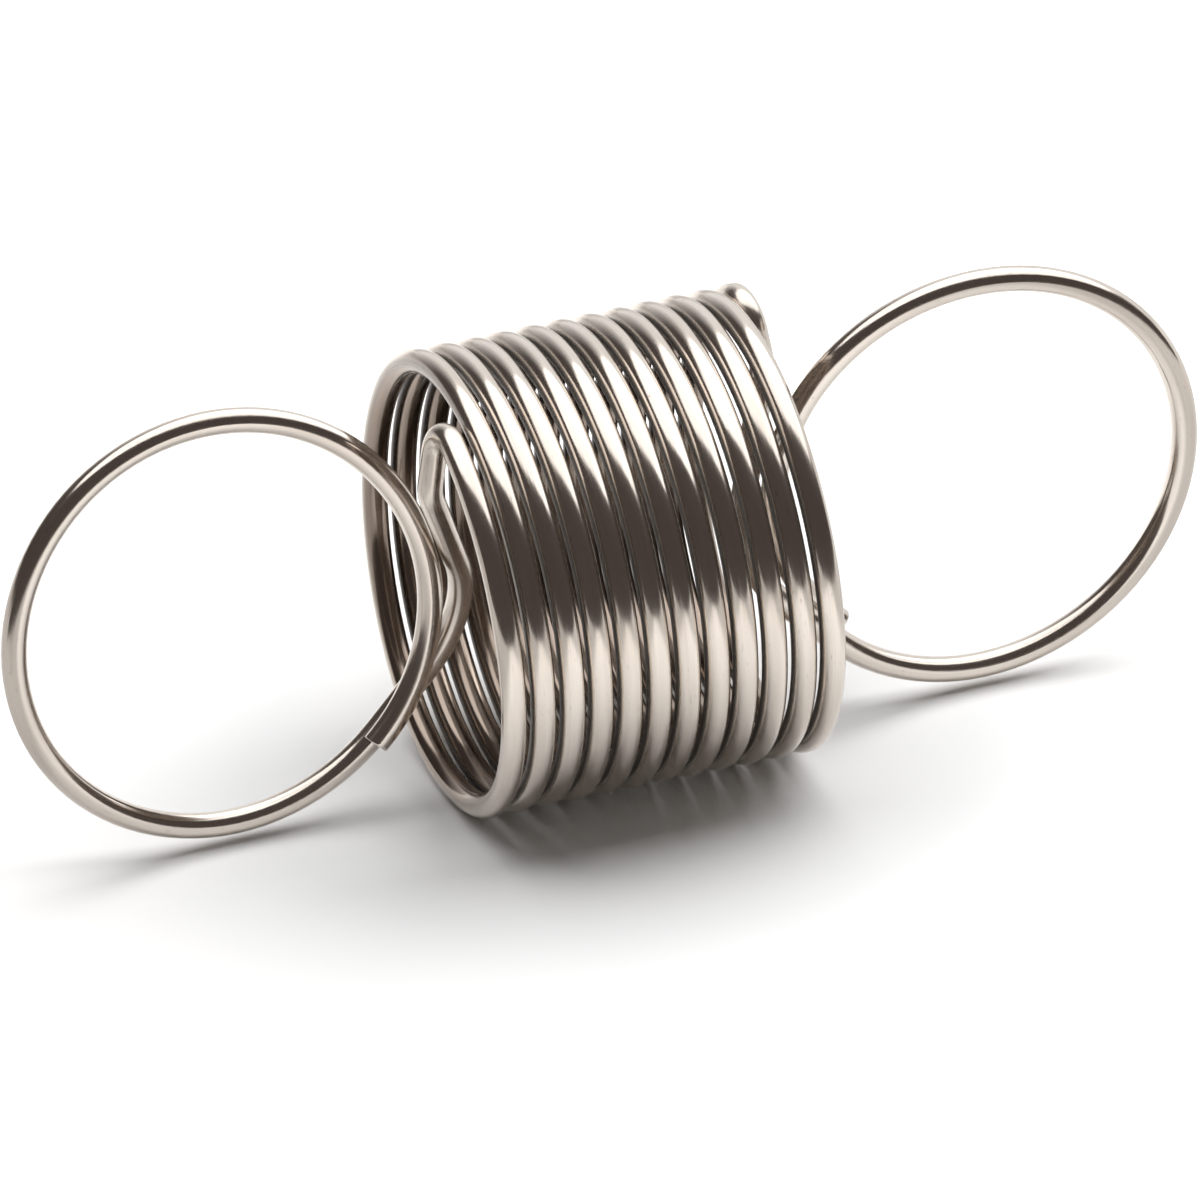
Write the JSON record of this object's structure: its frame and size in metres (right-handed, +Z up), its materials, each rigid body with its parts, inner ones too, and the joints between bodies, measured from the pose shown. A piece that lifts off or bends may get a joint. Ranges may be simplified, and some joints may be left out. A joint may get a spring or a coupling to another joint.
{
  "type": "extension spring",
  "caption": "Close-wound extension spring of round steel wire, with a full round loop crossing over at each end.",
  "frame": {"origin": "on the ground under the middle of the spring, where the coil and the loops rest", "axes": "+X along the coil's axis, +Y across the flat of the loops, +Z up"},
  "size_m": [0.0488, 0.0184, 0.0183],
  "materials": {
    "bright_steel": "bright drawn wire, polished"
  },
  "bodies": {
    "root": {"spring": "bright_steel"}
  },
  "joints": []
}
